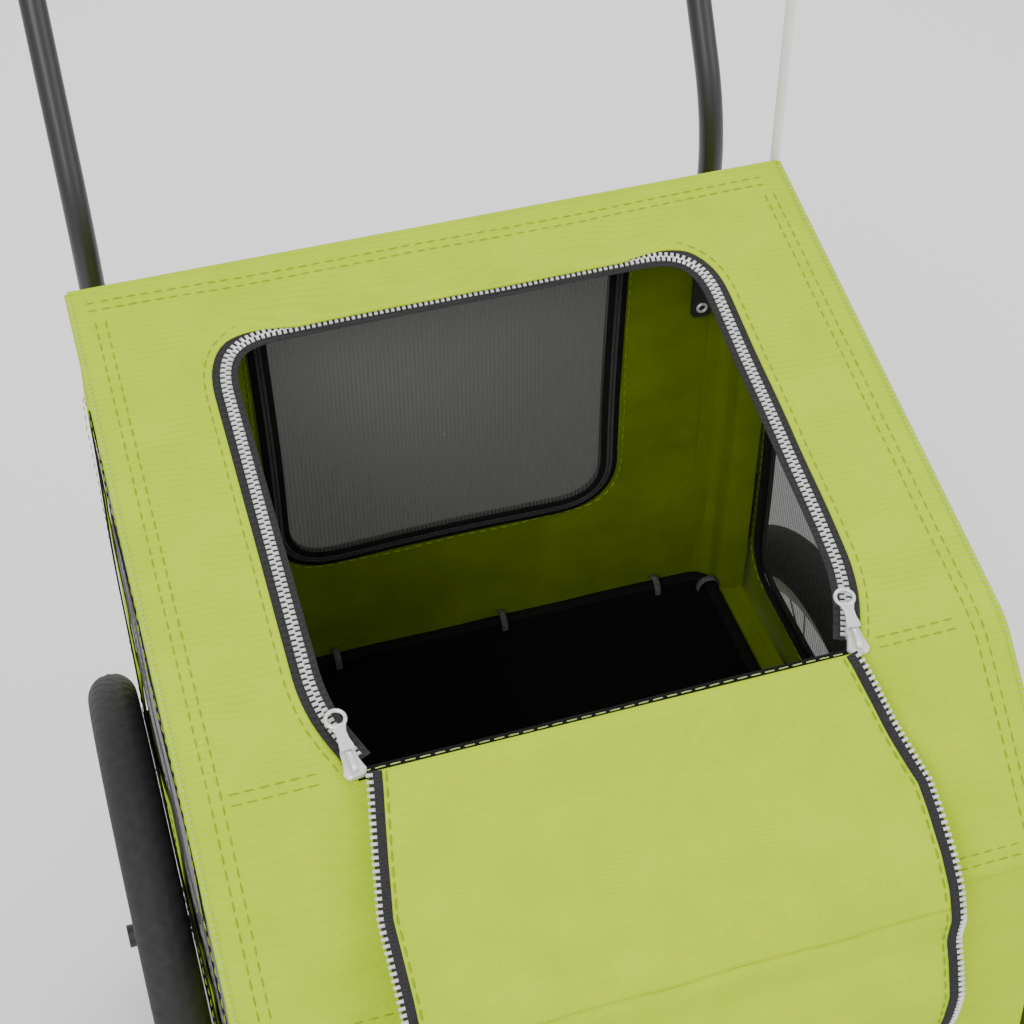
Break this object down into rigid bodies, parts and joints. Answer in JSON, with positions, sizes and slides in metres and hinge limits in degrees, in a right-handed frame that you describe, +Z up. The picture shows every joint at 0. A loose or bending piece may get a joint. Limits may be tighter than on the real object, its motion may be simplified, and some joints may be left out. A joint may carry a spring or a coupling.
{
  "type": "bicycle trailer",
  "caption": "Fabric cabin trailer on spoked wheels with a zipped roof hatch folded open, a swivelling front wheel, push handle, tow bar and flag.",
  "frame": {"origin": "on the ground, under the middle of the whole trailer with its tow bar, flag and wheels", "axes": "-Y is the direction of travel, +X is the left side of the trailer, +Z is up"},
  "size_m": [0.744, 1.5256, 1.4658],
  "materials": {
    "green_fabric": "woven matt",
    "mesh_window": "open woven mesh",
    "black_tape": "woven matt",
    "floor_mat_cloth": "matt",
    "tyre_rubber": "moulded tread",
    "silver_alloy": "polished",
    "zinc_plated": "bright plated",
    "handle_foam": "soft foam",
    "fibreglass": "smooth",
    "pennant_cloth": "thin bright cloth",
    "black_plastic": "satin",
    "black_tube": "black powder coat"
  },
  "bodies": {
    "cabin": {"axle_beam": "black_tube", "caster_head": "black_tube", "flag_socket": "black_plastic", "floor_board": "black_plastic", "floor_mat": "floor_mat_cloth", "front_floor_bar": "black_tube", "front_panel": "green_fabric", "front_window": "mesh_window", "hatch_zipper": "black_tape", "left_floor_rail": "black_tube", "left_handle_bolt": "zinc_plated", "left_handle_bracket": "black_plastic", "left_side_hoop": "black_tube", "left_side_panel": "green_fabric", "left_window": "mesh_window", "rear_door_mesh": "mesh_window", "rear_door_zipper": "black_tape", "rear_floor_bar": "black_tube", "rear_panel": "green_fabric", "right_floor_rail": "black_tube", "right_handle_bolt": "zinc_plated", "right_handle_bracket": "black_plastic", "right_side_hoop": "black_tube", "right_side_panel": "green_fabric", "right_window": "mesh_window", "roof_front_bar": "black_tube", "roof_panel": "green_fabric", "roof_rear_bar": "black_tube", "tow_receiver": "black_tube"},
    "left_axle": {"left_wheel_axle": "black_tube"},
    "left_wheel": {"left_tyre": "tyre_rubber", "left_rim": "silver_alloy", "left_spokes_and_hub": "silver_alloy"},
    "right_axle": {"right_wheel_axle": "black_tube"},
    "right_wheel": {"right_tyre": "tyre_rubber", "right_rim": "silver_alloy", "right_spokes_and_hub": "silver_alloy"},
    "caster": {"caster_fork": "black_tube", "front_axle_bolt": "zinc_plated"},
    "front_wheel": {"front_tyre": "tyre_rubber", "front_wheel_disc": "black_plastic"},
    "handle": {"handle_tube": "black_tube", "handle_grip": "handle_foam"},
    "hatch_flap": {"flap_root": "green_fabric"},
    "hatch_flap_middle": {"flap_middle": "green_fabric"},
    "hatch_flap_end": {"flap_end": "green_fabric"},
    "left_slider": {"left_zip_slider": "zinc_plated"},
    "left_pull": {"left_zip_pull": "zinc_plated"},
    "right_slider": {"right_zip_slider": "zinc_plated"},
    "right_pull": {"right_zip_pull": "zinc_plated"},
    "tow_arm": {"tow_bar": "black_tube"},
    "tow_knob": {"tow_clamp_knob": "black_plastic"},
    "hitch": {"hitch_plate": "black_tube"},
    "pin": {"hitch_pin": "zinc_plated"},
    "flag": {"flag_pole": "fibreglass", "flag_pennant": "pennant_cloth"}
  },
  "joints": [
    {"name": "left_wheel_release", "type": "slide", "parent": "cabin", "child": "left_axle", "axis": [1, 0, 0], "range_m": [0, 0.08]},
    {"name": "left_wheel_spin", "type": "hinge", "parent": "left_axle", "child": "left_wheel", "pos_m": [0.338, 0.3262, 0.25], "axis": [1, 0, 0], "continuous": true},
    {"name": "right_wheel_release", "type": "slide", "parent": "cabin", "child": "right_axle", "axis": [-1, 0, 0], "range_m": [0, 0.08]},
    {"name": "right_wheel_spin", "type": "hinge", "parent": "right_axle", "child": "right_wheel", "pos_m": [-0.338, 0.3262, 0.25], "axis": [1, 0, 0], "continuous": true},
    {"name": "caster_swivel", "type": "hinge", "parent": "cabin", "child": "caster", "pos_m": [0, -0.2888, 0.34], "axis": [0, 0, 1], "continuous": true},
    {"name": "front_wheel_spin", "type": "hinge", "parent": "caster", "child": "front_wheel", "pos_m": [0, -0.2438, 0.1], "axis": [1, 0, 0], "continuous": true},
    {"name": "handle_fold", "type": "hinge", "parent": "cabin", "child": "handle", "pos_m": [0, 0.5812, 0.6], "axis": [1, 0, 0], "range_deg": [-120, 0]},
    {"name": "flap_fold", "type": "hinge", "parent": "cabin", "child": "hatch_flap", "pos_m": [0, 0.0342, 0.8015], "axis": [1, 0, 0], "range_deg": [-195, 0]},
    {"name": "flap_middle_flex", "type": "hinge", "parent": "hatch_flap", "child": "hatch_flap_middle", "pos_m": [0, -0.09824, 0.73108], "axis": [1, 0, 0], "range_deg": [-37.1, 0]},
    {"name": "flap_end_flex", "type": "hinge", "parent": "hatch_flap_middle", "child": "hatch_flap_end", "pos_m": [0, -0.13628, 0.64951], "axis": [1, 0, 0], "range_deg": [-23.1, 0]},
    {"name": "left_slider_run", "type": "slide", "parent": "cabin", "child": "left_slider", "axis": [0, 0.9767, 0.2144], "range_m": [0, 0.32]},
    {"name": "left_pull_flip", "type": "hinge", "parent": "left_slider", "child": "left_pull", "pos_m": [0.1889, 0.05679, 0.80263], "axis": [0.995, -0.0975, -0.0214], "range_deg": [0, 150]},
    {"name": "right_slider_run", "type": "slide", "parent": "cabin", "child": "right_slider", "axis": [0, 0.9767, 0.2144], "range_m": [0, 0.32]},
    {"name": "right_pull_flip", "type": "hinge", "parent": "right_slider", "child": "right_pull", "pos_m": [-0.1889, 0.05679, 0.80263], "axis": [0.995, 0.0975, 0.0214], "range_deg": [0, 150]},
    {"name": "tow_bar_slide", "type": "slide", "parent": "cabin", "child": "tow_arm", "axis": [0, -1, 0], "range_m": [0, 0.09]},
    {"name": "tow_knob_turn", "type": "hinge", "parent": "cabin", "child": "tow_knob", "pos_m": [0.262, -0.0688, 0.346], "axis": [1, 0, 0], "range_deg": [0, 360]},
    {"name": "hitch_swing", "type": "hinge", "parent": "tow_arm", "child": "hitch", "pos_m": [0.1, -0.6768, 0.346], "axis": [0, 0, 1], "range_deg": [-60, 60]},
    {"name": "hitch_pin_lift", "type": "slide", "parent": "tow_arm", "child": "pin", "axis": [0, 0, 1], "range_m": [0, 0.05]},
    {"name": "flag_lift", "type": "slide", "parent": "cabin", "child": "flag", "axis": [0, 0.023, 0.9997], "range_m": [0, 0.07]}
  ],
  "couplings": [
    {"joint": "flap_middle_flex", "follows": "flap_fold", "ratio": 0.1897},
    {"joint": "flap_end_flex", "follows": "flap_fold", "ratio": 0.1179}
  ]
}
